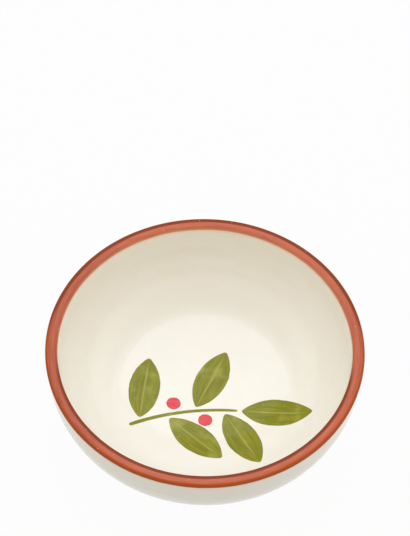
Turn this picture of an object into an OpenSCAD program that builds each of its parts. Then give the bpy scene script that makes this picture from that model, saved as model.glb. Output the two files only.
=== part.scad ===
// Shallow glazed dish for olives and nibbles, with a coloured lip and a painted leaf sprig.
// Turned about +Z and standing on its foot ring at z = 0. Front is -Y. Millimetres.

/* [Bowl] */
// Outside diameter at the lip
rim_d = 130; // [116:1:150]
// Height from the ground to the top of the lip
bowl_h = 47; // [43:0.5:54]
// Width of the lip across its top
lip_w = 5; // [4.5:0.1:6.5]
// Rounding of the lip's two shoulders
lip_round = 1.2; // [1:0.1:2]
// Radius of the lip's domed top
lip_dome = 5.5; // [4:0.5:12]
// Lean of the upper wall from upright, in degrees
wall_lean = 4; // [1:0.5:8]
// Depth below the lip at which the wall starts to curve in
wall_straight = 9; // [6:0.5:13]
// Thickness of the floor at its centre
floor_t = 5.5; // [4:0.25:8]
// Slope of the dished floor where it turns up into the wall, in degrees
floor_slope = 11; // [5:1:15]

/* [Foot] */
// Outside diameter of the foot ring
foot_d = 58; // [50:1:68]
// Width of the foot ring
foot_w = 4.5; // [3.5:0.25:7]
// Height of the foot ring, and depth of the recess inside it
foot_h = 2.5; // [2:0.25:4]
// Rounding of the foot ring's lower edges
foot_round = 0.7; // [0.3:0.1:0.9]
// Height of the bare clay that is left below the glaze
bare_h = 1.2; // [1:0.1:1.6]

/* [Glaze and lip band] */
// Thickness of the glaze and of the coloured band
coat_t = 0.5; // [0.3:0.05:0.8]
// How far the band runs down the outside, below the rounded lip
band_outside = 0.3; // [0.2:0.1:3]
// How far the band runs down the inside, below the rounded lip
band_inside = 0.6; // [0.2:0.1:3]

/* [Painted sprig] */
// Thickness of the painted strokes
paint_t = 0.2; // [0.1:0.05:0.3]
// Middle of the stem, to the right of the centre
sprig_x = -9; // [-14:0.5:8]
// Middle of the stem, behind the centre
sprig_y = -8; // [-12:0.5:4]
// Turn of the sprig about its middle, in degrees
sprig_turn = 12; // [-180:1:180]
// Length of the stem along its bend
stem_l = 48; // [44:1:60]
// Radius of the stem's bend
stem_bend = 75; // [50:1:120]
// Width of the stem
stem_w = 1.8; // [1:0.1:3]
// Length of a leaf
leaf_l = 30; // [20:0.5:33]
// Width of a leaf
leaf_w = 14.5; // [8:0.5:15.5]
// Angle between the stem and a side leaf, in degrees
leaf_spread = 58; // [54:1:70]
// Diameter of a berry
berry_d = 6.5; // [4:0.25:8]
// Distance along the stem from a leaf to the berry in front of it
berry_ahead = 15.5; // [14:0.5:17]
// Bare glaze between the stem and a leaf or berry
stroke_gap = 0.8; // [0.4:0.1:2]

/* [Hidden] */
$fn = 96;
side_leaves = 4;
leaves = side_leaves + 1;
berries = 2;

cream = [0.95, 0.93, 0.87];
terracotta = [0.70, 0.33, 0.18];
bare_clay = [0.82, 0.70, 0.58];
olive_green = [0.48, 0.50, 0.12];
coral = [0.88, 0.36, 0.38];

// Lines cut from each round stretch of the outline
arc_steps = 20;

// The wall leans alike on both faces: square out of it, square into the hollow, and down along it
outward = [cos(wall_lean), -sin(wall_lean)];
inward = -outward;
downward = [-sin(wall_lean), -cos(wall_lean)];

// Lip, as a domed top between two round shoulders
dome_c = [rim_d / 2 - lip_w / 2, bowl_h - lip_dome];
dome_angle = asin((lip_w / 2 - lip_round) / (lip_dome - lip_round));
shoulder_z = dome_c.y + (lip_dome - lip_round) * cos(dome_angle);
lip_out_c = [rim_d / 2 - lip_round, shoulder_z];
lip_in_c = [rim_d / 2 - lip_w + lip_round, shoulder_z];

// Belly, one arc from the straight wall to the top of the foot ring
curve_z = bowl_h - wall_straight;
foot_r = foot_d / 2;
belly_top = wall_at(lip_out_c + lip_round * outward, curve_z);
belly_reach = belly_top - [foot_r, foot_h];
belly_r = (belly_reach * belly_reach) / (2 * belly_reach * outward);
belly_c = belly_top - belly_r * outward;

// Hollow, one arc from the straight wall to a gently dished floor
floor_z = foot_h + floor_t;
hollow_top = wall_at(lip_in_c + lip_round * inward, curve_z);
dish_rise = tan(floor_slope / 2);
hollow_r = (hollow_top.y - floor_z - dish_rise * hollow_top.x)
    / (cos(floor_slope) - sin(wall_lean) - dish_rise * (cos(wall_lean) - sin(floor_slope)));
hollow_c = hollow_top + hollow_r * inward;
dish_edge = hollow_c + hollow_r * [sin(floor_slope), -cos(floor_slope)];
dish_r = dish_edge.x / sin(floor_slope);
dish_c = [0, floor_z + dish_r];

// Foot ring
foot_in_r = foot_r - foot_w;

// Bend of the stem, measured from its middle
stem_half_angle = stem_l / stem_bend / 2 * 180 / PI;

// Where a straight wall through a point passes a height
function wall_at(p, z) = p + (p.y - z) / cos(wall_lean) * downward;

// Points along a round stretch, without its first point when it carries on from another
function arc(c, r, a, b, first = 0) =
    [for (i = [first:arc_steps]) let (t = a + (b - a) * i / arc_steps) c + r * [cos(t), sin(t)]];

function backwards(points) = [for (i = [len(points) - 1:-1:0]) points[i]];

// Stretches of the outline, at a depth below the finished surface
function belly(depth) =
    let (r = belly_r - depth, foot_angle = -acos((foot_r - depth - belly_c.x) / r))
    arc(belly_c, r, foot_angle, -wall_lean);
function band_foot_out(depth) = lip_out_c + (lip_round - depth) * outward + band_outside * downward;
function lip(depth) = concat(
    arc(lip_out_c, lip_round - depth, -wall_lean, 90 - dome_angle),
    arc(dome_c, lip_dome - depth, 90 - dome_angle, 90 + dome_angle, 1),
    arc(lip_in_c, lip_round - depth, 90 + dome_angle, 180 - wall_lean, 1)
);
function band_foot_in(depth) = lip_in_c + (lip_round - depth) * inward + band_inside * downward;
function hollow(depth) = concat(
    arc(hollow_c, hollow_r + depth, -wall_lean, floor_slope - 90),
    arc(dish_c, dish_r + depth, floor_slope - 90, -90, 1)
);

// Bare foot of the clay, from the middle of the recess out to the foot ring's outer edge
function clay_foot() = concat(
    [[0, foot_h + coat_t], [foot_in_r + coat_t, foot_h + coat_t]],
    arc([foot_in_r + coat_t + foot_round, foot_round], foot_round, 180, 270),
    arc([foot_r - coat_t - foot_round, foot_round], foot_round, -90, 0)
);

// One turned piece from its outline
module turned(points) {
    rotate_extrude() polygon(points);
}

// The fired clay, with its foot ring
module clay_body() {
    color(bare_clay) turned(concat(clay_foot(), belly(coat_t), lip(coat_t), hollow(coat_t)));
}

// Glaze over the hollow, up to the band
module inner_glaze() {
    color(cream) turned(concat(
        [band_foot_in(0)], hollow(0), backwards(hollow(coat_t)), [band_foot_in(coat_t)]
    ));
}

// Glaze over the outside, from the bare foot up to the band
module outer_glaze() {
    color(cream) turned(concat(
        [[foot_r, bare_h]], belly(0), [band_foot_out(0), band_foot_out(coat_t)],
        backwards(belly(coat_t)), [[foot_r - coat_t, bare_h]]
    ));
}

// Glaze in the recess under the foot
module base_glaze() {
    color(cream) turned([
        [0, foot_h], [foot_in_r, foot_h], [foot_in_r, bare_h], [foot_in_r + coat_t, bare_h],
        [foot_in_r + coat_t, foot_h + coat_t], [0, foot_h + coat_t]
    ]);
}

// Coloured band over the lip, between the two glazes
module rim_band() {
    color(terracotta) turned(concat(
        [band_foot_out(0)], lip(0), [band_foot_in(0), band_foot_in(coat_t)],
        backwards(lip(coat_t)), [band_foot_out(coat_t)]
    ));
}

// A stroke of paint on the glazed hollow, from its outline seen from above
module stroke(paint) {
    color(paint) intersection() {
        turned(concat(hollow(-paint_t), backwards(hollow(0))));
        linear_extrude(bowl_h) translate([sprig_x, sprig_y]) rotate(sprig_turn) children();
    }
}

// Moves to a place along the stem, facing along it: 0 is its foot and 1 its tip
module along_stem(place) {
    angle = (2 * place - 1) * stem_half_angle;
    translate([0, -stem_bend]) rotate(-angle) translate([0, stem_bend]) children();
}

module stem_outline() {
    reach = 2 * stem_bend;
    intersection() {
        translate([0, -stem_bend]) difference() {
            circle(stem_bend + stem_w / 2);
            circle(stem_bend - stem_w / 2);
        }
        translate([0, -stem_bend]) polygon([
            [0, 0],
            reach * [-sin(stem_half_angle), cos(stem_half_angle)],
            reach * [sin(stem_half_angle), cos(stem_half_angle)]
        ]);
    }
}

// A leaf between two arcs, from its base at the origin along +X
module leaf_outline() {
    bulge = leaf_w / 2;
    side_r = (leaf_l * leaf_l / 4 + bulge * bulge) / leaf_w;
    intersection_for (side = [-1, 1]) {
        translate([leaf_l / 2, side * (side_r - bulge)]) circle(side_r);
    }
}

// Place of a side leaf along the stem, and the side it grows on
function leaf_place(i) = (i - 0.5) / side_leaves;
function leaf_side(i) = i % 2 == 1 ? 1 : -1;

// Side leaves grow in turn on the stem's two sides, and the last leaf carries on from its tip
module leaf(i) {
    stroke(olive_green) {
        if (i == leaves) {
            along_stem(1) translate([stroke_gap, 0]) leaf_outline();
        } else {
            along_stem(leaf_place(i)) translate([0, leaf_side(i) * (stem_w / 2 + stroke_gap)])
                rotate(leaf_side(i) * leaf_spread) leaf_outline();
        }
    }
}

// A berry beside the stem, in front of the leaf on the same side
module berry(i) {
    side_step = stem_w / 2 + stroke_gap + berry_d / 2;
    stroke(coral) along_stem(leaf_place(i) + berry_ahead / stem_l)
        translate([0, leaf_side(i) * side_step]) circle(d = berry_d);
}

module sprig_stem() {
    stroke(olive_green) stem_outline();
}

clay_body();
inner_glaze();
outer_glaze();
base_glaze();
rim_band();
sprig_stem();
for (i = [1:leaves]) {
    leaf(i);
}
for (i = [1:berries]) {
    berry(i);
}
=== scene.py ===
from math import acos, asin, atan, atan2, cos, hypot, pi, radians, sin, sqrt, tan

import bmesh
import bpy
from mathutils import Matrix, Quaternion, Vector, noise


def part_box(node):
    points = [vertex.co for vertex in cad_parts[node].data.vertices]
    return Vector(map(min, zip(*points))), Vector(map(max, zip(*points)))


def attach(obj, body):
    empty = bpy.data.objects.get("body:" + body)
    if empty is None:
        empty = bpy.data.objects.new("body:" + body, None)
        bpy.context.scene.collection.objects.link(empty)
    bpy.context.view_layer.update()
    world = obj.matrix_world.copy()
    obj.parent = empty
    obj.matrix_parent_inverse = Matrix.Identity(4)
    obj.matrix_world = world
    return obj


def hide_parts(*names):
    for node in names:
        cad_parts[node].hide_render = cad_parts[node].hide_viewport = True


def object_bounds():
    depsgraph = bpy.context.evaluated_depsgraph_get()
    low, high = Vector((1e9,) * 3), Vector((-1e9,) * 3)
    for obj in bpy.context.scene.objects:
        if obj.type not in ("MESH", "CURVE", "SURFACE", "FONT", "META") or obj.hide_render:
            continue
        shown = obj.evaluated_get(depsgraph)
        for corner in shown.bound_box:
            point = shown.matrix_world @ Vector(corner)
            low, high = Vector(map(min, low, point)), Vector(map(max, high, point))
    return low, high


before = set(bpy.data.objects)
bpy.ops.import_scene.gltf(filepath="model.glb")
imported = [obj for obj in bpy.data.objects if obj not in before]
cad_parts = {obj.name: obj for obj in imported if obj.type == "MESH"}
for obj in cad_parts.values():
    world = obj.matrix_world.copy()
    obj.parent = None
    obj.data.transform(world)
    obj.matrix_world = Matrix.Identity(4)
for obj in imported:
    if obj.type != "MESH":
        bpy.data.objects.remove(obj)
cad_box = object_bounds()

# Sizes of the dish in metres, the same as its construction
MM = 0.001
RIM_RADIUS = min(cad_box[1][0], cad_box[1][1])
BOWL_HEIGHT = cad_box[1][2]
LIP_WIDTH = 5 * MM
LIP_ROUND = 1.2 * MM
LIP_DOME = 5.5 * MM
WALL_LEAN = radians(4)
WALL_STRAIGHT = 9 * MM
FLOOR_THICK = 5.5 * MM
FLOOR_SLOPE = radians(11)
FOOT_RADIUS = 29 * MM
FOOT_WIDTH = 4.5 * MM
FOOT_HEIGHT = 2.5 * MM
FOOT_ROUND = 0.7 * MM
BARE_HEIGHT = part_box("outer_glaze")[0].z
COAT = 0.5 * MM
BAND_OUTSIDE = 0.3 * MM
BAND_INSIDE = 0.6 * MM

# Layout of the painted sprig, seen from above
SPRIG_MIDDLE = (-9 * MM, -8 * MM)
SPRIG_TURN = radians(12)
STEM_LENGTH = 48 * MM
STEM_BEND = 75 * MM
STEM_WIDTH = 1.8 * MM
SIDE_LEAVES = 4
LEAF_LENGTH = 30 * MM
LEAF_WIDTH = 14.5 * MM
LEAF_SPREAD = radians(58)
BERRIES = 2
BERRY_WIDTH = 6.5 * MM
BERRY_AHEAD = 15.5 * MM
STROKE_GAP = 0.8 * MM

# Marks of the hand: the band's margins waver, and glaze pools in corners and beads at its end
MARGIN_WAVER = 0.16 * MM
SLOW_WAVER = 5
QUICK_WAVER = 17
QUICK_WAVER_SHARE = 0.6
POOL_ROUND = 0.9 * MM
BEAD_ROUND = 0.3 * MM

# Painted strokes: a thin film that falls off at a ragged edge
PAINT_FILM = 0.06 * MM
PAINT_SINK = 0.03 * MM
FILM_END_POWER = 24
FILM_SIDE_POWER = 12
DAB_EDGE_POWER = 8
RAGGED = 0.035
SLOW_RAGGED = 4
QUICK_RAGGED = 15
QUICK_RAGGED_SHARE = 0.5
DAB_RAGGED = 2
DAB_RAGGED_SHARE = 1.5
STEM_RAGGED_PACE = 3
STEM_END_POWER = 20
STEM_PRESS = 1.08
STEM_PRESS_LOSS = 0.3
STEM_SEED = 0.5
LEAF_SEED = 7.3
BERRY_SEED = 3.1

# Fineness of the meshes
TURN_STEPS = 256
LONG_ARC_STEPS = 48
SHORT_ARC_STEPS = 10
ROUND_STEPS = 4
STROKE_STEPS_ALONG = 64
STROKE_STEPS_ACROSS = 28
SHARP_ANGLE = radians(35)
RING_TOLERANCE = 1e-6
MERGE_DISTANCE = 1e-7

# Colours
CREAM = (0.875, 0.84, 0.765, 1)
CREAM_DEEP = (0.85, 0.80, 0.70, 1)
PEACH = (0.92, 0.68, 0.47, 1)
SALMON = (0.575, 0.136, 0.066, 1)
SALMON_DEEP = (0.38, 0.076, 0.032, 1)
RUST = (0.43, 0.080, 0.008, 1)
RUST_DEEP = (0.34, 0.058, 0.005, 1)
# Dark line at the band's outer margin, also its painted shade on the side of the lip that faces the back
DARK_EDGE_AND_SHADE = (0.24, 0.036, 0.003, 1)
LEAF_GREEN = (0.274, 0.263, 0.006, 1)
LEAF_DEEP = (0.182, 0.184, 0.003, 1)
LEAF_PALE = (0.42, 0.41, 0.085, 1)
CORAL = (0.75, 0.050, 0.070, 1)
CORAL_DEEP = (0.60, 0.018, 0.030, 1)
CORAL_PALE = (0.85, 0.16, 0.16, 1)
BUFF = (0.60, 0.44, 0.29, 1)
BUFF_DARK = (0.42, 0.28, 0.17, 1)
WHITE = (1, 1, 1, 1)
DAYLIGHT = (0.72, 0.85, 1.0)
ROOM_WHITE = (1.0, 0.955, 0.87, 1)

# Glaze and brush marks, with scales in cells to the metre and fades from a first value to a second
GLAZE_DEPTH = 0.07 * MM
GLAZE_REFRACTION = 1.5
PAINT_REFRACTION = 1.28
POOL_SCALE = 34
RIPPLE_SCALE = 210
PEEL_SCALE = 1500
POOL_TONE = 0.65
RIPPLE_TONE = 0.35
TONE_FADE = (0.3, 0.7)
TONE_STRENGTH = 0.5
RIPPLE_HEIGHT = 0.10
PEEL_HEIGHT = 0.008
GLAZE_ROUGHNESS = 0.03
RIPPLE_ROUGHNESS = 0.05
STREAK_FADE = (0.32, 0.68)
FLECK_SCALE = 800
FLECK_FADE = (0.22, 0.10)
BLEED_FADE = (-2.1 * MM, 0)
BLEED_STRENGTH = 0.9

# Brushwork, painted highlight and painted shade of the lip's band, by the reach from the middle of the
# lip and the height over a margin
BAND_STREAK_SCALE = (110, 110, 110)
BAND_STREAKS_ACROSS = 9
BAND_STREAK_STRENGTH = 0.5
BAND_FLECKS = 0.02
BAND_FLECK_STRENGTH = 0.5
# Painted highlight: the pale crown of the lip, partly the band's own colour, by the reach from the
# middle of the lip
CROWN_HIGHLIGHT_FADE = (2.0 * MM, 1.2 * MM)
# Painted shade at the band's sides, darker the further from a middle a little to the right
SIDE_SHADE_MIDDLE = 10 * MM
SIDE_SHADE_FADE = (35 * MM, 65 * MM)
SIDE_SHADE_STRENGTH = 0.5
THIN_COAT_HEIGHT_FADE = (1.8 * MM, 0)
THIN_COAT_REACH_FADE = (0, -1 * MM)
THIN_COAT_STRENGTH = 0.35
MARGIN_LINE_HEIGHT_FADE = (0.5 * MM, 0.05 * MM)
MARGIN_LINE_REACH_FADE = (0, 1 * MM)
# Painted shade on the side of the lip that faces the back
BACK_SHADE_SHIFT = 0.2 * MM
BACK_SHADE_FADE = (0.1 * MM, 0.5 * MM)

# Brushwork of the sprig, by the share of a stroke's length and width
LEAF_STREAKS = (2, 13, 1)
LEAF_DRIFT = (30, 45, 0)
LEAF_FLECKS = 0.12
LEAF_POOL_SCALE = 120
LEAF_POOL_FADE = (0.5, 0.75)
LEAF_POOL_STRENGTH = 0.55
LEAF_EDGE_FADE = (0.88, 1)
LEAF_EDGE_STRENGTH = 0.5
VEIN_FADE = (0.075, 0.02)
VEIN_END_FADE = (0.97, 0.75)
VEIN_STRENGTH = 0.7
BERRY_STREAKS = (260, 900, 1)
BERRY_STREAK_STRENGTH = 0.35
BERRY_FLECKS = 0.05
BERRY_EDGE_FADE = (0.03, 0)
BERRY_EDGE_STRENGTH = 0.6

# Bare clay
GRAIN_SCALE = 1800
GRAIN_DEPTH = 0.08 * MM
GRAIN_FADE = (0.55, 0.75)
GRAIN_STRENGTH = 0.6
PATCH_SCALE = 160
PATCH_FADE = (0.35, 0.7)
CLAY_ROUGHNESS = 0.72
GRAIN_ROUGHNESS = 0.2

# The photograph's frame and where the middle of the lip lies in it
IMAGE_WIDTH = 410
IMAGE_HEIGHT = 536
LIP_MIDDLE_PX = (205.1, 346.2)
SENSOR = 36
LENS = 150.4
CAMERA_NEAR = 0.01
CAMERA_DISTANCE = 0.91
CAMERA_ELEVATION = radians(56.75)
CAMERA_ROLL = radians(1.4)

# Studio light
LAMP_WIDTH = 0.96
LAMP_DEPTH = 1.25
LAMP_POWER = 8.6
LAMP_MIDDLE = 0.59
LAMP_MIDDLE_SOFTNESS = 0.02
LAMP_RIM_LEVEL = 0.3
LAMP_RIM_SOFTNESS = 0.03
LAMP_DISTANCE = 1.0
LAMP_BEHIND = radians(21.7)
HORIZON_LEVEL = 0.05
LOW_LEFT_LEVEL = 0.36
LOW_RIGHT_LEVEL = 0.68
WALL_LEVEL = 1.1
SIDE_WALL_LEVEL = 1.28
CEILING_LEVEL = 0.73
SIDE_FADE = (0.4, 0.8)
WALL_FOOT_FADE = (0.15, 0.42)
CEILING_FADE = (0.6, 0.85)
FLOOR_SIZE = 6
FLOOR_GREY = 0.6
FLOOR_LIFT = 0.96

# The outline in the plane y = 0, as points of radius and height
outward = Vector((cos(WALL_LEAN), -sin(WALL_LEAN)))
inward = -outward
downward = Vector((-sin(WALL_LEAN), -cos(WALL_LEAN)))
dome_centre = Vector((RIM_RADIUS - LIP_WIDTH / 2, BOWL_HEIGHT - LIP_DOME))
dome_angle = asin((LIP_WIDTH / 2 - LIP_ROUND) / (LIP_DOME - LIP_ROUND))
shoulder_z = dome_centre.y + (LIP_DOME - LIP_ROUND) * cos(dome_angle)
lip_out_centre = Vector((RIM_RADIUS - LIP_ROUND, shoulder_z))
lip_in_centre = Vector((RIM_RADIUS - LIP_WIDTH + LIP_ROUND, shoulder_z))
curve_z = BOWL_HEIGHT - WALL_STRAIGHT


def wall_at(point, z):
    """Where the straight wall through a point passes a height."""
    return point + (point.y - z) / cos(WALL_LEAN) * downward


belly_top = wall_at(lip_out_centre + LIP_ROUND * outward, curve_z)
belly_reach = belly_top - Vector((FOOT_RADIUS, FOOT_HEIGHT))
belly_radius = belly_reach.dot(belly_reach) / (2 * belly_reach.dot(outward))
belly_centre = belly_top - belly_radius * outward

floor_z = FOOT_HEIGHT + FLOOR_THICK
hollow_top = wall_at(lip_in_centre + LIP_ROUND * inward, curve_z)
dish_rise = tan(FLOOR_SLOPE / 2)
hollow_radius = (hollow_top.y - floor_z - dish_rise * hollow_top.x) / (
    cos(FLOOR_SLOPE) - sin(WALL_LEAN) - dish_rise * (cos(WALL_LEAN) - sin(FLOOR_SLOPE))
)
hollow_centre = hollow_top + hollow_radius * inward
dish_edge = hollow_centre + hollow_radius * Vector((sin(FLOOR_SLOPE), -cos(FLOOR_SLOPE)))
dish_radius = dish_edge.x / sin(FLOOR_SLOPE)
dish_centre = Vector((0, floor_z + dish_radius))
foot_in_radius = FOOT_RADIUS - FOOT_WIDTH

lip_out_turn = pi / 2 + WALL_LEAN - dome_angle
lip_in_turn = pi / 2 - WALL_LEAN - dome_angle
hollow_turn = pi / 2 - FLOOR_SLOPE - WALL_LEAN


def band_foot_out(depth):
    """Where the band ends on the outside, at a depth below the surface."""
    return lip_out_centre + (LIP_ROUND - depth) * outward + BAND_OUTSIDE * downward


def band_foot_in(depth):
    """Where the band ends on the inside, at a depth below the surface."""
    return lip_in_centre + (LIP_ROUND - depth) * inward + BAND_INSIDE * downward


def belly_foot_angle(depth):
    """How far below the level the belly's arc starts at the foot."""
    return acos((FOOT_RADIUS - depth - belly_centre.x) / (belly_radius - depth))


def hollow_height(radius):
    """Height of the glazed hollow at a radius, below its straight wall."""
    if radius < dish_edge.x:
        return dish_centre.y - sqrt(dish_radius**2 - radius**2)
    return hollow_centre.y - sqrt(hollow_radius**2 - (radius - hollow_centre.x) ** 2)


def close_seams(bm):
    """Merges doubled points, drops what has no area, and turns every face outwards."""
    bmesh.ops.remove_doubles(bm, verts=bm.verts[:], dist=MERGE_DISTANCE)
    bmesh.ops.dissolve_degenerate(bm, edges=bm.edges[:], dist=MERGE_DISTANCE)
    bmesh.ops.recalc_face_normals(bm, faces=bm.faces[:])


class Outline:
    """A pen that draws one outline in the plane y = 0 with straight and round strokes."""

    def __init__(self, start):
        self.bm = bmesh.new()
        self.first = self.bm.verts.new((start[0], 0, start[1]))
        self.last = self.first

    def line(self, *points):
        for point in points:
            new = bmesh.ops.extrude_vert_indiv(self.bm, verts=[self.last])["verts"][0]
            new.co = (point[0], 0, point[1])
            self.last = new

    def arc(self, centre, turn, steps):
        """Turns the pen about a centre, anticlockwise in radius and height."""
        swung = bmesh.ops.spin(
            self.bm, geom=[self.last], cent=(centre[0], 0, centre[1]), axis=(0, 1, 0),
            angle=-turn, steps=steps,
        )
        self.last = next(g for g in swung["geom_last"] if isinstance(g, bmesh.types.BMVert))

    def belly(self, depth):
        """Up the outside, from the foot to the top of its curve."""
        angle = belly_foot_angle(depth)
        self.line(belly_centre + (belly_radius - depth) * Vector((cos(angle), -sin(angle))))
        self.arc(belly_centre, angle - WALL_LEAN, LONG_ARC_STEPS)

    def belly_back(self, depth):
        self.line(belly_centre + (belly_radius - depth) * outward)
        self.arc(belly_centre, WALL_LEAN - belly_foot_angle(depth), LONG_ARC_STEPS)

    def lip(self, depth):
        """Over the lip, from the outside to the inside."""
        self.line(lip_out_centre + (LIP_ROUND - depth) * outward)
        self.arc(lip_out_centre, lip_out_turn, SHORT_ARC_STEPS)
        self.arc(dome_centre, 2 * dome_angle, SHORT_ARC_STEPS)
        self.arc(lip_in_centre, lip_in_turn, SHORT_ARC_STEPS)

    def lip_back(self, depth):
        self.line(lip_in_centre + (LIP_ROUND - depth) * inward)
        self.arc(lip_in_centre, -lip_in_turn, SHORT_ARC_STEPS)
        self.arc(dome_centre, -2 * dome_angle, SHORT_ARC_STEPS)
        self.arc(lip_out_centre, -lip_out_turn, SHORT_ARC_STEPS)

    def hollow(self, depth):
        """Down the inside, from the top of its curve to the middle of the floor."""
        self.line(hollow_centre - (hollow_radius + depth) * inward)
        self.arc(hollow_centre, -hollow_turn, LONG_ARC_STEPS)
        self.arc(dish_centre, -FLOOR_SLOPE, LONG_ARC_STEPS // 2)

    def hollow_back(self, depth):
        self.line((0, dish_centre.y - dish_radius - depth))
        self.arc(dish_centre, FLOOR_SLOPE, LONG_ARC_STEPS // 2)
        self.arc(hollow_centre, hollow_turn, LONG_ARC_STEPS)

    def turned(self, closed):
        """Spins the outline about Z into one closed skin that faces outwards."""
        bm = self.bm
        if closed:
            bm.edges.new((self.last, self.first))
        bmesh.ops.spin(
            bm, geom=bm.verts[:] + bm.edges[:], cent=(0, 0, 0), axis=(0, 0, 1),
            angle=2 * pi, steps=TURN_STEPS, use_merge=True,
        )
        close_seams(bm)
        return bm


def on_ring(vert, ring):
    """Whether a vertex lies on the circle that a point of the outline turns through."""
    return hypot(hypot(vert.co.x, vert.co.y) - ring[0], vert.co.z - ring[1]) < RING_TOLERANCE


def round_ring(bm, ring, size):
    """Rounds the corner that a point of the outline turns through."""
    corner = [edge for edge in bm.edges if all(on_ring(vert, ring) for vert in edge.verts)]
    bmesh.ops.bevel(
        bm, geom=corner, offset=size, offset_type="OFFSET", affect="EDGES",
        segments=ROUND_STEPS, profile=0.5, material=-1,
    )


def waver(bm, band_foot, side):
    """Lets the band's margin wander as a brush does, alike in the two pieces that meet there."""
    rings = [band_foot(0), band_foot(COAT)]
    for vert in bm.verts:
        if any(on_ring(vert, ring) for ring in rings):
            angle = atan2(vert.co.y, vert.co.x)
            around = Vector((cos(angle), sin(angle), side))
            quick = QUICK_WAVER_SHARE * noise.noise(QUICK_WAVER * around)
            shift = MARGIN_WAVER * (noise.noise(SLOW_WAVER * around) + quick)
            vert.co += shift * Vector((downward.x * cos(angle), downward.x * sin(angle), downward.y))


def new_object(name, data):
    """Puts an object into the scene, at the origin."""
    made = bpy.data.objects.new(name, data)
    bpy.context.scene.collection.objects.link(made)
    return made


def finished_piece(name, bm, material, slot, *nodes):
    """Makes a shaped mesh a piece of the dish, smooth but for its true corners."""
    mesh = bpy.data.meshes.new(name)
    for face in bm.faces:
        face.smooth = True
    bm.to_mesh(mesh)
    bm.free()
    mesh.set_sharp_from_angle(angle=SHARP_ANGLE)
    mesh.materials.append(material)
    piece = new_object(name, mesh)
    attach(piece, "root")
    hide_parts(*nodes)


# Turned pieces
def fired_clay(material):
    foot_in = foot_in_radius + COAT
    foot_out = FOOT_RADIUS - COAT
    pen = Outline((0, FOOT_HEIGHT + COAT))
    pen.line((foot_in, FOOT_HEIGHT + COAT), (foot_in, FOOT_ROUND))
    pen.arc((foot_in + FOOT_ROUND, FOOT_ROUND), pi / 2, SHORT_ARC_STEPS)
    pen.line((foot_out - FOOT_ROUND, 0))
    pen.arc((foot_out - FOOT_ROUND, FOOT_ROUND), pi / 2, SHORT_ARC_STEPS)
    pen.belly(COAT)
    pen.lip(COAT)
    pen.hollow(COAT)
    finished_piece("fired_clay", pen.turned(closed=False), material, "clay", "clay_body")


def inside_glaze(material):
    pen = Outline(band_foot_in(0))
    pen.hollow(0)
    pen.hollow_back(COAT)
    pen.line(band_foot_in(COAT))
    bm = pen.turned(closed=True)
    waver(bm, band_foot_in, side=-1)
    finished_piece("inside_glaze", bm, material, "cream_glaze", "inner_glaze")


def outside_glaze(material):
    pen = Outline((FOOT_RADIUS, BARE_HEIGHT))
    pen.belly(0)
    pen.line(band_foot_out(0), band_foot_out(COAT))
    pen.belly_back(COAT)
    pen.line((FOOT_RADIUS - COAT, BARE_HEIGHT))
    bm = pen.turned(closed=True)
    waver(bm, band_foot_out, side=1)
    round_ring(bm, (FOOT_RADIUS, FOOT_HEIGHT), POOL_ROUND)
    round_ring(bm, (FOOT_RADIUS, BARE_HEIGHT), BEAD_ROUND)
    finished_piece("outside_glaze", bm, material, "cream_glaze", "outer_glaze")


def underside_glaze(material):
    foot_in = foot_in_radius + COAT
    pen = Outline((0, FOOT_HEIGHT))
    pen.line((foot_in_radius, FOOT_HEIGHT), (foot_in_radius, BARE_HEIGHT), (foot_in, BARE_HEIGHT))
    pen.line((foot_in, FOOT_HEIGHT + COAT), (0, FOOT_HEIGHT + COAT))
    bm = pen.turned(closed=False)
    round_ring(bm, (foot_in_radius, FOOT_HEIGHT), POOL_ROUND)
    round_ring(bm, (foot_in_radius, BARE_HEIGHT), BEAD_ROUND)
    finished_piece("underside_glaze", bm, material, "cream_glaze", "base_glaze")


def lip_band(material):
    pen = Outline(band_foot_out(0))
    pen.lip(0)
    pen.line(band_foot_in(0), band_foot_in(COAT))
    pen.lip_back(COAT)
    pen.line(band_foot_out(COAT))
    bm = pen.turned(closed=True)
    waver(bm, band_foot_out, side=1)
    waver(bm, band_foot_in, side=-1)
    finished_piece("lip_band", bm, material, "lip_colour", "rim_band")


# Painted strokes
def brush_film(along, across):
    """How full of paint a stroke is: full in its middle and none at its edge."""
    return (1 - along**FILM_END_POWER) * (1 - across**FILM_SIDE_POWER)


def dab_film(along, across):
    """The same for a square that is drawn in to a disc."""
    from_middle = 1 - (1 - along**2) * (1 - across**2)
    return 1 - from_middle**DAB_EDGE_POWER


stem_half_angle = STEM_LENGTH / STEM_BEND / 2
sprig_place = Matrix.Translation((*SPRIG_MIDDLE, 0)) @ Matrix.Rotation(SPRIG_TURN, 4, "Z")


def shaped_stroke(shape, place, film):
    """A thin film of paint on the dish's floor, from a shape one unit long and one to each side."""
    bm = bmesh.new()
    bm.loops.layers.uv.new("stroke")
    bmesh.ops.create_grid(
        bm, x_segments=STROKE_STEPS_ALONG, y_segments=STROKE_STEPS_ACROSS, size=1, calc_uvs=True,
    )
    for vert in bm.verts:
        along, across = vert.co.x, vert.co.y
        x, y = shape((along + 1) / 2, across)
        vert.co = (x, y, PAINT_FILM * film(along, across) - PAINT_SINK)
    bmesh.ops.transform(bm, matrix=sprig_place @ place, verts=bm.verts[:])
    for vert in bm.verts:
        vert.co.z += hollow_height(hypot(vert.co.x, vert.co.y))
    under = bmesh.ops.extrude_face_region(bm, geom=bm.faces[:])["geom"]
    under_verts = [g for g in under if isinstance(g, bmesh.types.BMVert)]
    bmesh.ops.translate(bm, vec=(0, 0, -PAINT_SINK), verts=under_verts)
    close_seams(bm)
    return bm


def along_stem(place):
    """The place on the stem's bend, facing along it: 0 is its foot and 1 its tip."""
    turn = Matrix.Rotation(-(2 * place - 1) * stem_half_angle, 4, "Z")
    return Matrix.Translation((0, -STEM_BEND, 0)) @ turn @ Matrix.Translation((0, STEM_BEND, 0))


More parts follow.
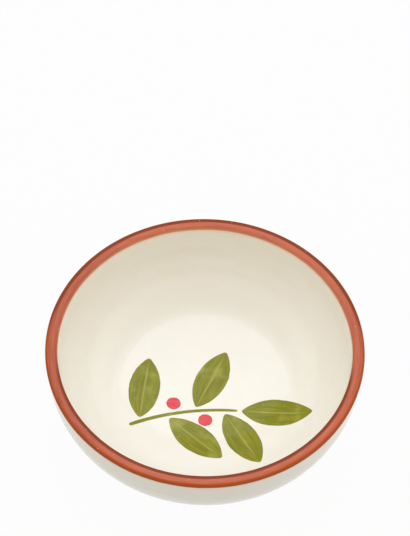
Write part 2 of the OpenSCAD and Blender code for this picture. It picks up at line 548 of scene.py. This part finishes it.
def leaf_place(i):
    """Where on the stem a side leaf grows."""
    return (i - 0.5) / SIDE_LEAVES


def leaf_side(i):
    """The stem's left or right, in turn."""
    return 1 if i % 2 else -1


def ragged_edge(along, across, seed):
    """How much narrower than its outline a brush leaves a stroke."""
    side = 1 if across > 0 else -1
    slow = noise.noise((SLOW_RAGGED * along, side, seed))
    quick = noise.noise((QUICK_RAGGED * along, side, seed))
    return 1 - RAGGED * (1 + slow + QUICK_RAGGED_SHARE * quick)


def painted_leaf(i, material):
    if i > SIDE_LEAVES:
        place = along_stem(1) @ Matrix.Translation((STROKE_GAP, 0, 0))
    else:
        side = leaf_side(i)
        foot = Matrix.Translation((0, side * (STEM_WIDTH / 2 + STROKE_GAP), 0))
        place = along_stem(leaf_place(i)) @ foot @ Matrix.Rotation(side * LEAF_SPREAD, 4, "Z")
    bulge = LEAF_WIDTH / 2
    side_radius = (LEAF_LENGTH**2 / 4 + bulge**2) / LEAF_WIDTH

    def shape(along, across):
        """Two arcs that meet in a point at both ends."""
        from_middle = (along - 0.5) * LEAF_LENGTH
        half_width = sqrt(side_radius**2 - from_middle**2) - side_radius + bulge
        return along * LEAF_LENGTH, across * half_width * ragged_edge(along, across, LEAF_SEED * i)

    name = f"leaf_{i}"
    bm = shaped_stroke(shape, place, brush_film)
    finished_piece("painted_" + name, bm, material, "leaf_paint", name)


def painted_stem(material):
    def shape(along, across):
        """A bent stroke with round ends, pressed less towards its tip."""
        from_middle = 2 * along - 1
        angle = from_middle * stem_half_angle
        press = STEM_PRESS - STEM_PRESS_LOSS * along
        rounded = sqrt(max(0, 1 - from_middle**STEM_END_POWER))
        ragged = ragged_edge(STEM_RAGGED_PACE * along, across, STEM_SEED)
        radius = STEM_BEND + across * press * rounded * STEM_WIDTH / 2 * ragged
        return radius * sin(angle), radius * cos(angle) - STEM_BEND

    bm = shaped_stroke(shape, Matrix.Identity(4), brush_film)
    finished_piece("painted_stem", bm, material, "leaf_paint", "sprig_stem")


def painted_berry(i, material):
    step = leaf_side(i) * (STEM_WIDTH / 2 + STROKE_GAP + BERRY_WIDTH / 2)
    place = along_stem(leaf_place(i) + BERRY_AHEAD / STEM_LENGTH) @ Matrix.Translation((0, step, 0))

    def shape(along, across):
        """A square drawn in to a disc, ragged at its edge."""
        along = 2 * along - 1
        x = along * sqrt(1 - across**2 / 2)
        y = across * sqrt(1 - along**2 / 2)
        angle = atan2(y, x)
        wander = noise.noise((DAB_RAGGED * cos(angle), DAB_RAGGED * sin(angle), BERRY_SEED * i))
        uneven = 1 - RAGGED * (1 + DAB_RAGGED_SHARE * wander)
        return x * BERRY_WIDTH / 2 * uneven, y * BERRY_WIDTH / 2 * uneven

    name = f"berry_{i}"
    bm = shaped_stroke(shape, place, dab_film)
    finished_piece("painted_" + name, bm, material, "berry_paint", name)


# Node helpers
def feed(tree, socket, value):
    """Links a socket to another, or sets it to a constant."""
    if isinstance(value, bpy.types.NodeSocket):
        tree.links.new(value, socket)
    else:
        socket.default_value = value


def add(tree, kind, inputs, **settings):
    node = tree.nodes.new("ShaderNode" + kind)
    for name, value in settings.items():
        setattr(node, name, value)
    for name, value in inputs.items():
        feed(tree, node.inputs[name], value)
    return node


def calc(tree, operation, *values):
    return add(tree, "Math", dict(enumerate(values)), operation=operation).outputs[0]


def blend(tree, factor, first, second):
    return add(tree, "Mix", {0: factor, 6: first, 7: second}, data_type="RGBA").outputs[2]


def tint(tree, mask, strength, colour, second):
    """Lays a second colour over a colour where a mask is, at a strength."""
    return blend(tree, calc(tree, "MULTIPLY", mask, strength), colour, second)


def fade(tree, value, start, end, low=0, high=1):
    """Goes smoothly from low at start to high at end, which may be the lower of the two."""
    inputs = {"Value": value, "From Min": start, "From Max": end, "To Min": low, "To Max": high}
    return add(tree, "MapRange", inputs, interpolation_type="SMOOTHSTEP").outputs["Result"]


def to_edge(tree, share):
    """Goes from 0 in the middle of a share to 1 at both of its ends."""
    return calc(tree, "ABSOLUTE", calc(tree, "MULTIPLY_ADD", share, 2, -1))


def hump(tree, share):
    """Rises in the middle of a share, and is 0 at both of its ends."""
    return calc(tree, "MULTIPLY", share, calc(tree, "SUBTRACT", 1, share))


def cloud(tree, vector, scale, detail):
    return add(tree, "TexNoise", {"Vector": vector, "Scale": scale, "Detail": detail}).outputs[0]


def stretch(tree, vector, scale):
    return add(tree, "VectorMath", {0: vector, 1: scale}, operation="MULTIPLY").outputs[0]


def shifted(tree, vector, step):
    return add(tree, "VectorMath", {0: vector, 1: step}, operation="ADD").outputs[0]


def from_axis(tree, surface):
    """A place's three parts, the place laid flat, and its distance from the dish's axis."""
    parts = add(tree, "SeparateXYZ", {0: surface}).outputs
    flat = add(tree, "CombineXYZ", {0: parts["X"], 1: parts["Y"]}).outputs[0]
    radius = add(tree, "VectorMath", {0: flat}, operation="LENGTH").outputs["Value"]
    return parts, flat, radius


def new_group(name, inputs, outputs):
    group = bpy.data.node_groups.new(name, "ShaderNodeTree")
    for label, kind in inputs.items():
        group.interface.new_socket(label, in_out="INPUT", socket_type="NodeSocket" + kind)
    for label, kind in outputs.items():
        group.interface.new_socket(label, in_out="OUTPUT", socket_type="NodeSocket" + kind)
    given = group.nodes.new("NodeGroupInput").outputs
    made = group.nodes.new("NodeGroupOutput").inputs
    return group, given, made


def use_group(tree, group, inputs):
    node = tree.nodes.new("ShaderNodeGroup")
    node.node_tree = group
    for name, value in inputs.items():
        feed(tree, node.inputs[name], value)
    return node.outputs


def new_material(name):
    material = bpy.data.materials.new(name)
    material.use_nodes = True
    tree = material.node_tree
    surface = tree.nodes.new("ShaderNodeTexCoord").outputs["Object"]
    return material, tree, tree.nodes["Principled BSDF"], surface


# Effects that several finishes share
def glaze_skin():
    """Fired glaze: pools of deeper tone, a surface not quite even, and a gloss that wanders a little."""
    group, given, made = new_group(
        "glaze_skin", {"Surface": "Vector"}, {"Tone": "Float", "Height": "Float", "Roughness": "Float"},
    )
    pools = cloud(group, given["Surface"], POOL_SCALE, detail=2)
    ripples = cloud(group, given["Surface"], RIPPLE_SCALE, detail=2)
    peel = cloud(group, given["Surface"], PEEL_SCALE, detail=1)
    tone = calc(group, "MULTIPLY_ADD", ripples, RIPPLE_TONE, calc(group, "MULTIPLY", pools, POOL_TONE))
    height = calc(group, "MULTIPLY_ADD", ripples, RIPPLE_HEIGHT, pools)
    roughness = calc(group, "MULTIPLY_ADD", ripples, RIPPLE_ROUGHNESS, GLAZE_ROUGHNESS)
    feed(group, made["Tone"], fade(group, tone, *TONE_FADE))
    feed(group, made["Height"], calc(group, "MULTIPLY_ADD", peel, PEEL_HEIGHT, height))
    feed(group, made["Roughness"], roughness)
    return group


def brush_marks():
    """Marks of a brush: streaks along a stroke, and flecks where the paint skipped."""
    group, given, made = new_group(
        "brush_marks", {"Stroke": "Vector", "Surface": "Vector", "Bare": "Float"},
        {"Streak": "Float", "Fleck": "Float"},
    )
    streak = cloud(group, given["Stroke"], 1, detail=4)
    cells = add(group, "TexVoronoi", {"Vector": given["Surface"], "Scale": FLECK_SCALE})
    spot = fade(group, cells.outputs["Distance"], *FLECK_FADE)
    chance = add(group, "SeparateColor", {0: cells.outputs["Color"]}).outputs[0]
    skipped = calc(group, "LESS_THAN", chance, given["Bare"])
    feed(group, made["Streak"], fade(group, streak, *STREAK_FADE))
    feed(group, made["Fleck"], calc(group, "MULTIPLY", spot, skipped))
    return group


def band_margin():
    """Height above the nearer margin of the lip's band: in the band it is positive."""
    group, given, made = new_group("band_margin", {"Surface": "Vector"}, {"Height": "Float"})
    parts, _, radius = from_axis(group, given["Surface"])
    outside = calc(group, "GREATER_THAN", radius, dome_centre.x)
    step = band_foot_out(0).y - band_foot_in(0).y
    margin = calc(group, "MULTIPLY_ADD", outside, step, band_foot_in(0).y)
    feed(group, made["Height"], calc(group, "SUBTRACT", parts["Z"], margin))
    return group


# Finishes
def glossy(tree, shader, skin, colour, refraction):
    """Joins a colour and the glaze's skin to a shader."""
    bump = add(tree, "Bump", {"Height": skin["Height"], "Distance": GLAZE_DEPTH, "Strength": 1})
    feed(tree, shader.inputs["Base Color"], colour)
    feed(tree, shader.inputs["Roughness"], skin["Roughness"])
    feed(tree, shader.inputs["Normal"], bump.outputs[0])
    shader.inputs["IOR"].default_value = refraction


def cream_glaze(skin_group, margin_group):
    """Cream, deeper where the glaze pools, with the band bleeding into it."""
    material, tree, shader, surface = new_material("cream_glaze")
    skin = use_group(tree, skin_group, {"Surface": surface})
    height = use_group(tree, margin_group, {"Surface": surface})["Height"]
    colour = tint(tree, skin["Tone"], TONE_STRENGTH, CREAM, CREAM_DEEP)
    colour = tint(tree, fade(tree, height, *BLEED_FADE), BLEED_STRENGTH, colour, PEACH)
    glossy(tree, shader, skin, colour, GLAZE_REFRACTION)
    return material


def way_round_lip(tree, parts, flat, reach):
    """Places for streaks that follow the brush round the lip and change quickly across it."""
    rise = calc(tree, "SUBTRACT", parts["Z"], band_foot_out(0).y)
    over = calc(tree, "DIVIDE", calc(tree, "ARCTAN2", rise, reach), pi)
    across = add(tree, "CombineXYZ", {2: calc(tree, "MULTIPLY", over, BAND_STREAKS_ACROSS)}).outputs[0]
    return shifted(tree, stretch(tree, flat, BAND_STREAK_SCALE), across)


def lip_colour(skin_group, brush_group, margin_group):
    """Salmon on the crown, partly a painted highlight, and rust on the shoulder, with painted shade at
    the sides, thin inside, a dark margin line, and painted shade on the side that faces the back.
    """
    material, tree, shader, surface = new_material("lip_colour")
    skin = use_group(tree, skin_group, {"Surface": surface})
    height = use_group(tree, margin_group, {"Surface": surface})["Height"]
    parts, flat, radius = from_axis(tree, surface)
    reach = calc(tree, "SUBTRACT", radius, dome_centre.x)
    stroke = way_round_lip(tree, parts, flat, reach)
    marks = use_group(tree, brush_group, {"Stroke": stroke, "Surface": surface, "Bare": BAND_FLECKS})

    # Painted shade: darker towards the sides of the band, more on the left, where less light falls; the
    # streaks are the brush's own
    to_one_side = calc(tree, "ABSOLUTE", calc(tree, "SUBTRACT", parts["X"], SIDE_SHADE_MIDDLE))
    side_shade = fade(tree, to_one_side, *SIDE_SHADE_FADE)
    streaks = calc(tree, "MULTIPLY", marks["Streak"], BAND_STREAK_STRENGTH)
    streaks_and_side_shade = calc(tree, "MULTIPLY_ADD", side_shade, SIDE_SHADE_STRENGTH, streaks)
    shoulder = blend(tree, streaks_and_side_shade, RUST, RUST_DEEP)
    top = blend(tree, streaks_and_side_shade, SALMON, SALMON_DEEP)
    # Painted highlight: the crown is paler salmon, partly the band's own colour and partly where the
    # lamp's reflection falls
    colour = blend(tree, fade(tree, reach, *CROWN_HIGHLIGHT_FADE), shoulder, top)

    inner_side = fade(tree, reach, *THIN_COAT_REACH_FADE)
    thin_coat = calc(tree, "MULTIPLY", fade(tree, height, *THIN_COAT_HEIGHT_FADE), inner_side)
    colour = tint(tree, thin_coat, THIN_COAT_STRENGTH, colour, PEACH)

    outer_side = fade(tree, reach, *MARGIN_LINE_REACH_FADE)
    margin_line = calc(tree, "MULTIPLY", fade(tree, height, *MARGIN_LINE_HEIGHT_FADE), outer_side)
    # Painted shade: darker on the side of the lip that faces the back, outside at the back and inside at
    # the front
    back_shade_reach = calc(tree, "ADD", reach, BACK_SHADE_SHIFT)
    lean_back = calc(tree, "DIVIDE", calc(tree, "MULTIPLY", back_shade_reach, parts["Y"]), radius)
    dark_edge_and_shade = calc(tree, "MAXIMUM", fade(tree, lean_back, *BACK_SHADE_FADE), margin_line)
    colour = blend(tree, dark_edge_and_shade, colour, DARK_EDGE_AND_SHADE)
    colour = tint(tree, marks["Fleck"], BAND_FLECK_STRENGTH, colour, PEACH)
    glossy(tree, shader, skin, colour, PAINT_REFRACTION)
    return material


def leaf_paint(name, skin_group, brush_group, veined):
    """Green streaked along the stroke, pale at its edges and in places, with a vein on a leaf."""
    material, tree, shader, surface = new_material(name)
    skin = use_group(tree, skin_group, {"Surface": surface})
    stroke = add(tree, "UVMap", {}, uv_map="stroke").outputs["UV"]
    streaks = shifted(tree, stretch(tree, stroke, LEAF_STREAKS), stretch(tree, surface, LEAF_DRIFT))
    marks = use_group(tree, brush_group, {"Stroke": streaks, "Surface": surface, "Bare": LEAF_FLECKS})
    parts = add(tree, "SeparateXYZ", {0: stroke}).outputs
    across = to_edge(tree, parts["Y"])
    pool = cloud(tree, surface, LEAF_POOL_SCALE, detail=2)
    colour = blend(tree, marks["Streak"], LEAF_GREEN, LEAF_DEEP)
    colour = tint(tree, fade(tree, pool, *LEAF_POOL_FADE), LEAF_POOL_STRENGTH, colour, LEAF_PALE)
    colour = tint(tree, fade(tree, across, *LEAF_EDGE_FADE), LEAF_EDGE_STRENGTH, colour, LEAF_PALE)
    if veined:
        before_tip = fade(tree, parts["X"], *VEIN_END_FADE)
        vein = calc(tree, "MULTIPLY", fade(tree, across, *VEIN_FADE), before_tip)
        colour = tint(tree, vein, VEIN_STRENGTH, colour, LEAF_PALE)
    colour = blend(tree, marks["Fleck"], colour, LEAF_PALE)
    glossy(tree, shader, skin, colour, PAINT_REFRACTION)
    return material


def berry_paint(skin_group, brush_group):
    """Coral with pale streaks and a deeper edge."""
    material, tree, shader, surface = new_material("berry_paint")
    skin = use_group(tree, skin_group, {"Surface": surface})
    stroke = add(tree, "UVMap", {}, uv_map="stroke").outputs["UV"]
    streaks = stretch(tree, surface, BERRY_STREAKS)
    marks = use_group(tree, brush_group, {"Stroke": streaks, "Surface": surface, "Bare": BERRY_FLECKS})
    parts = add(tree, "SeparateXYZ", {0: stroke}).outputs
    middle = calc(tree, "MULTIPLY", hump(tree, parts["X"]), hump(tree, parts["Y"]))
    colour = tint(tree, marks["Streak"], BERRY_STREAK_STRENGTH, CORAL, CORAL_PALE)
    colour = tint(tree, fade(tree, middle, *BERRY_EDGE_FADE), BERRY_EDGE_STRENGTH, colour, CORAL_DEEP)
    colour = blend(tree, marks["Fleck"], colour, CORAL_PALE)
    glossy(tree, shader, skin, colour, PAINT_REFRACTION)
    return material


def bare_clay():
    """Matt buff clay, grainy and patchy."""
    material, tree, shader, surface = new_material("bare_clay")
    grain = cloud(tree, surface, GRAIN_SCALE, detail=4)
    patches = cloud(tree, surface, PATCH_SCALE, detail=3)
    colour = blend(tree, fade(tree, patches, *PATCH_FADE), BUFF, BUFF_DARK)
    colour = tint(tree, fade(tree, grain, *GRAIN_FADE), GRAIN_STRENGTH, colour, BUFF_DARK)
    bump = add(tree, "Bump", {"Height": grain, "Distance": GRAIN_DEPTH, "Strength": 1})
    roughness = calc(tree, "MULTIPLY_ADD", grain, GRAIN_ROUGHNESS, CLAY_ROUGHNESS)
    feed(tree, shader.inputs["Base Color"], colour)
    feed(tree, shader.inputs["Roughness"], roughness)
    feed(tree, shader.inputs["Normal"], bump.outputs[0])
    return material


def build_dish():
    skin = glaze_skin()
    brush = brush_marks()
    margin = band_margin()
    cream = cream_glaze(skin, margin)
    green = leaf_paint("leaf_paint", skin, brush, veined=True)
    coral = berry_paint(skin, brush)
    fired_clay(bare_clay())
    inside_glaze(cream)
    outside_glaze(cream)
    underside_glaze(cream)
    lip_band(lip_colour(skin, brush, margin))
    painted_stem(leaf_paint("stem_paint", skin, brush, veined=False))
    for i in range(1, SIDE_LEAVES + 2):
        painted_leaf(i, green)
    for i in range(1, BERRIES + 1):
        painted_berry(i, coral)


# Camera, light and floor
def aimed_camera():
    """A camera that sees the middle of the lip where the photograph has it."""
    focal_px = LENS / SENSOR * IMAGE_HEIGHT
    lip_middle = Vector((0, 0, BOWL_HEIGHT))
    data = bpy.data.cameras.new("photo_camera")
    data.lens = LENS
    data.sensor_width = SENSOR
    data.clip_start = CAMERA_NEAR
    camera = new_object("photo_camera", data)
    bpy.context.scene.camera = camera
    viewed_from = Vector((0, -cos(CAMERA_ELEVATION), sin(CAMERA_ELEVATION)))
    camera.location = lip_middle + CAMERA_DISTANCE * viewed_from
    aim = (lip_middle - camera.location).to_track_quat("-Z", "Y")
    roll = Quaternion((0, 0, 1), CAMERA_ROLL)
    tilt_up = Quaternion((1, 0, 0), atan((LIP_MIDDLE_PX[1] - IMAGE_HEIGHT / 2) / focal_px))
    swing = Quaternion((0, 1, 0), atan((LIP_MIDDLE_PX[0] - IMAGE_WIDTH / 2) / focal_px))
    camera.rotation_mode = "QUATERNION"
    camera.rotation_quaternion = aim @ roll @ tilt_up @ swing


def overhead_softbox():
    """An eight-sided softbox, dimmer round its bright middle."""
    data = bpy.data.lights.new("overhead_softbox", "AREA")
    data.shape = "RECTANGLE"
    data.size = LAMP_WIDTH
    data.size_y = LAMP_DEPTH
    data.energy = LAMP_POWER
    data.color = DAYLIGHT
    data.use_nodes = True
    tree = data.node_tree
    cloth = tree.nodes.new("ShaderNodeNewGeometry").outputs["Parametric"]
    parts = add(tree, "SeparateXYZ", {0: cloth}).outputs
    across = to_edge(tree, parts["X"])
    along = to_edge(tree, parts["Y"])
    corner = calc(tree, "DIVIDE", calc(tree, "ADD", across, along), sqrt(2))
    side = calc(tree, "MAXIMUM", calc(tree, "MAXIMUM", across, along), corner)
    level = fade(tree, side, 1, 1 - LAMP_RIM_SOFTNESS, 0, LAMP_RIM_LEVEL)
    level = fade(tree, side, LAMP_MIDDLE + LAMP_MIDDLE_SOFTNESS, LAMP_MIDDLE, level, 1)
    feed(tree, tree.nodes["Emission"].inputs["Strength"], level)
    lamp = new_object("overhead_softbox", data)
    away = Vector((0, sin(LAMP_BEHIND), cos(LAMP_BEHIND)))
    lamp.location = LAMP_DISTANCE * away
    lamp.rotation_mode = "QUATERNION"
    lamp.rotation_quaternion = (-away).to_track_quat("-Z", "Y")


def studio_world():
    """Light walls all round, dimmer overhead and low down, and darkest low in front and behind."""
    world = bpy.data.worlds.new("studio")
    bpy.context.scene.world = world
    world.use_nodes = True
    tree = world.node_tree
    back = tree.nodes["Background"]
    back.inputs["Color"].default_value = ROOM_WHITE
    direction = tree.nodes.new("ShaderNodeTexCoord").outputs["Generated"]
    parts = add(tree, "SeparateXYZ", {0: direction}).outputs
    to_right = parts["X"]
    to_left = calc(tree, "MULTIPLY", to_right, -1)
    to_side = calc(tree, "ABSOLUTE", to_right)
    low = fade(tree, to_right, *SIDE_FADE, HORIZON_LEVEL, LOW_RIGHT_LEVEL)
    low = fade(tree, to_left, *SIDE_FADE, low, LOW_LEFT_LEVEL)
    wall = fade(tree, to_side, *SIDE_FADE, WALL_LEVEL, SIDE_WALL_LEVEL)
    level = fade(tree, parts["Z"], *WALL_FOOT_FADE, low, wall)
    level = fade(tree, parts["Z"], *CEILING_FADE, level, CEILING_LEVEL)
    feed(tree, back.inputs["Strength"], level)


def white_floor():
    """A white floor that keeps the dish's shadow, lifted towards plain white where it is seen."""
    material = bpy.data.materials.new("white_floor")
    material.use_nodes = True
    tree = material.node_tree
    shader = tree.nodes["Principled BSDF"]
    shader.inputs["Base Color"].default_value = (FLOOR_GREY, FLOOR_GREY, FLOOR_GREY, 1)
    shader.inputs["Roughness"].default_value = 1
    shader.inputs["Specular IOR Level"].default_value = 0
    path = tree.nodes.new("ShaderNodeLightPath").outputs
    seen = calc(tree, "MAXIMUM", path["Is Camera Ray"], path["Is Glossy Ray"])
    seen = calc(tree, "MAXIMUM", seen, path["Is Transmission Ray"])
    glow = add(tree, "Emission", {"Color": WHITE, "Strength": 1})
    lift = calc(tree, "MULTIPLY", seen, FLOOR_LIFT)
    mix = add(tree, "MixShader", {0: lift, 1: shader.outputs[0], 2: glow.outputs[0]})
    feed(tree, tree.nodes["Material Output"].inputs["Surface"], mix.outputs[0])
    bm = bmesh.new()
    bmesh.ops.create_grid(bm, x_segments=1, y_segments=1, size=FLOOR_SIZE)
    mesh = bpy.data.meshes.new("floor")
    bm.to_mesh(mesh)
    bm.free()
    mesh.materials.append(material)
    new_object("floor", mesh)


build_dish()
aimed_camera()
overhead_softbox()
studio_world()
white_floor()
bpy.context.scene.view_settings.view_transform = "Standard"
